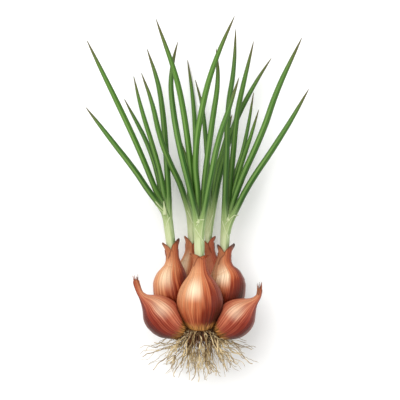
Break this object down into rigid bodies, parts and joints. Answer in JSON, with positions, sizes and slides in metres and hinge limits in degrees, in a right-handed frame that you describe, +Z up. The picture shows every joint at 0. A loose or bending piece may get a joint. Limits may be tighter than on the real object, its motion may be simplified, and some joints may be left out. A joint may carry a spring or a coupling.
{
  "type": "shallot clump",
  "caption": "Lifted shallot clump lying on its back: copper-skinned bulbs joined at the base, with green tubular leaves and pale roots.",
  "frame": {"origin": "middle of the clump's outline, on the surface that it lies on", "axes": "+Y from the root tips towards the leaf tips, +X across the clump, +Z up, away from the surface"},
  "size_m": [0.1916, 0.314, 0.0825],
  "materials": {
    "bulb_skin": "satin dry papery skin",
    "side_bulb_skin": "satin dry papery skin, redder below",
    "stem": "smooth pale green, satin",
    "leaf": "smooth green with a waxy bloom",
    "root": "dull, dry and fibrous",
    "crown": "rough brown fibre"
  },
  "bodies": {
    "root": {"front_bulb": "bulb_skin", "front_stem": "stem", "front_leaf_1": "leaf", "front_leaf_2": "leaf", "front_leaf_3": "leaf", "front_leaf_4": "leaf", "front_leaf_5": "leaf", "left_bulb": "bulb_skin", "left_stem": "stem", "left_leaf_1": "leaf", "left_leaf_2": "leaf", "left_leaf_3": "leaf", "left_leaf_4": "leaf", "left_leaf_5": "leaf", "right_bulb": "bulb_skin", "right_stem": "stem", "right_leaf_1": "leaf", "right_leaf_2": "leaf", "right_leaf_3": "leaf", "right_leaf_4": "leaf", "right_leaf_5": "leaf", "right_leaf_6": "leaf", "back_left_bulb": "bulb_skin", "back_left_stem": "stem", "back_left_leaf_1": "leaf", "back_left_leaf_2": "leaf", "back_left_leaf_3": "leaf", "back_right_bulb": "bulb_skin", "back_right_stem": "stem", "back_right_leaf_1": "leaf", "back_right_leaf_2": "leaf", "back_right_leaf_3": "leaf", "side_left_bulb": "side_bulb_skin", "side_right_bulb": "side_bulb_skin", "front_roots": "root", "left_roots": "root", "right_roots": "root", "back_left_roots": "root", "back_right_roots": "root", "side_left_roots": "root", "side_right_roots": "root", "crown": "crown"}
  },
  "joints": []
}
